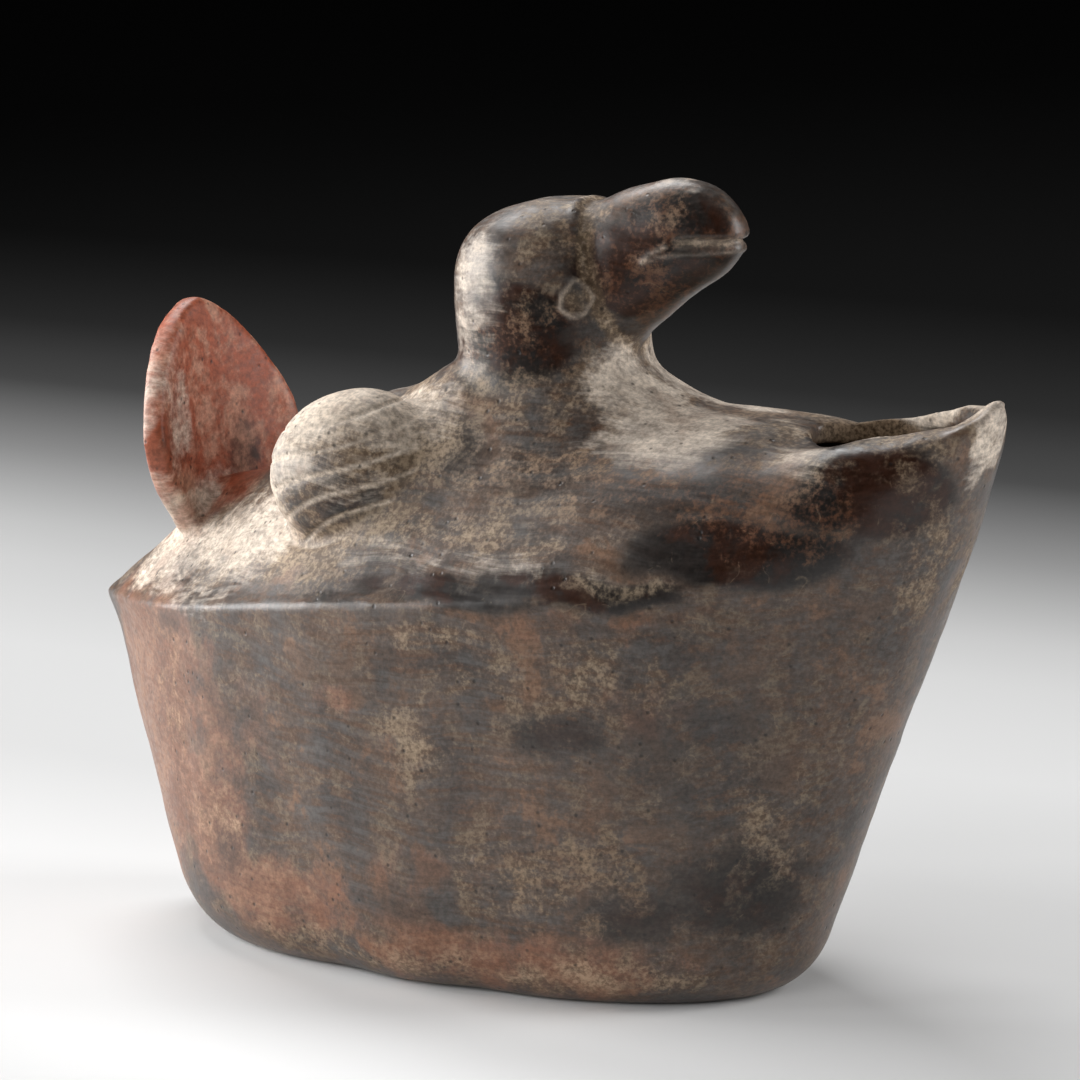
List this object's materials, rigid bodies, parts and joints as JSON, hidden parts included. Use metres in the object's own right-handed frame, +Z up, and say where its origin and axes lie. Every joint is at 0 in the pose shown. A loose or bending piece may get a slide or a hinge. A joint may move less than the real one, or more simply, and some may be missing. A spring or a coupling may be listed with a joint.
{
  "type": "parrot effigy vessel",
  "caption": "Hollow boat-shaped effigy vessel of burnished clay: a parrot with ribbed wings, an upright leaf-shaped tail and a pouring mouth in the prow.",
  "frame": {"origin": "centre of the flat underside, on the ground", "axes": "+X to the prow with the pouring mouth, the way the parrot looks; +Y to the parrot's left; +Z up"},
  "size_m": [0.2652, 0.1192, 0.1991],
  "materials": {
    "burnished_clay": "burnished, mottled and worn"
  },
  "bodies": {
    "root": {"parrot_vessel": "burnished_clay"}
  },
  "joints": []
}
